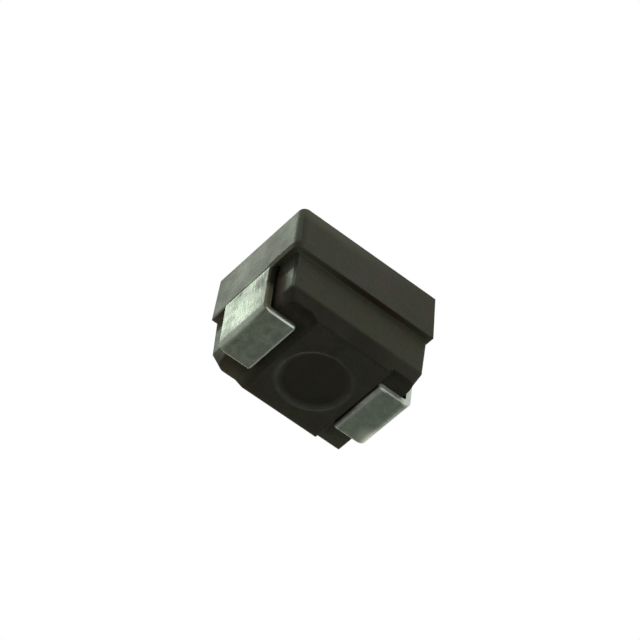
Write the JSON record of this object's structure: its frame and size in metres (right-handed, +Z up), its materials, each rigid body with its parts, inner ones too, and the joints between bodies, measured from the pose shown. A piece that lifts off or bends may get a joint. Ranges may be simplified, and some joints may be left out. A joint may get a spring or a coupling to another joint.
{
  "type": "shielded smd inductor",
  "caption": "Shielded surface-mount inductor: wound ferrite bobbin in a ferrite sleeve, moulded in a dark block with sheet terminals folded under its ends.",
  "frame": {"origin": "on the board, under the middle of the case's upper level, in the plane of the two terminals' solder faces", "axes": "+X along the length, from the left terminal to the right terminal; +Y across the width; +Z up from the board"},
  "size_m": [0.0044, 0.0032, 0.0033],
  "materials": {
    "mould_compound": "fine matt, mineral-filled epoxy moulding",
    "tinned_sheet": "dull tin plate on copper sheet, fine rolling marks",
    "ferrite": "sintered, fine matt",
    "enamelled_wire": "clear enamel over copper",
    "weld_metal": "dull, fused"
  },
  "bodies": {
    "root": {"case": "mould_compound", "left_terminal": "tinned_sheet", "right_terminal": "tinned_sheet", "shield_sleeve": "ferrite", "bobbin_core": "ferrite", "winding": "enamelled_wire", "left_lead_wire": "enamelled_wire", "right_lead_wire": "enamelled_wire", "left_weld": "weld_metal", "right_weld": "weld_metal"}
  },
  "joints": []
}
